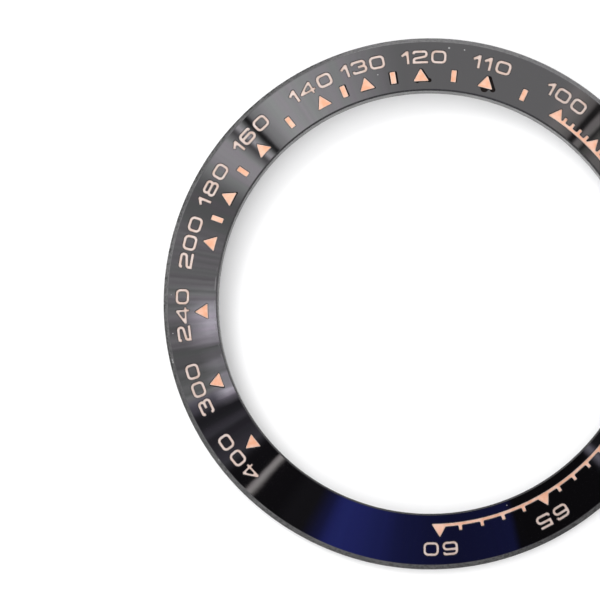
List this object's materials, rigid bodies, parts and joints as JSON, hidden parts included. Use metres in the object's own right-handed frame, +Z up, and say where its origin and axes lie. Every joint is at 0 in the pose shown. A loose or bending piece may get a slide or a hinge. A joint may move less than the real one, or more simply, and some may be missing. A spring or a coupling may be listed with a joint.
{
  "type": "watch bezel ring",
  "caption": "Fixed chronograph bezel ring of black ceramic with a sloping face and an inlaid tachymeter scale, which seats by its flat underside, bore and rim.",
  "frame": {"origin": "centre of the ring's flat underside", "axes": "+Z up through the sloping face along the bore's axis, -Y towards the 60 mark, +X towards the 80 mark of the unit track"},
  "size_m": [0.0386, 0.0386, 0.0019],
  "materials": {
    "black_ceramic": "polished",
    "rose_gold": "satin"
  },
  "bodies": {
    "root": {"ceramic_ring": "black_ceramic", "scale_track": "rose_gold", "triangle_110": "rose_gold", "triangle_120": "rose_gold", "triangle_130": "rose_gold", "triangle_140": "rose_gold", "triangle_160": "rose_gold", "triangle_180": "rose_gold", "triangle_200": "rose_gold", "triangle_240": "rose_gold", "triangle_300": "rose_gold", "triangle_400": "rose_gold", "bar_105": "rose_gold", "bar_115": "rose_gold", "bar_125": "rose_gold", "bar_135": "rose_gold", "bar_150": "rose_gold", "bar_170": "rose_gold", "bar_190": "rose_gold"}
  },
  "joints": []
}
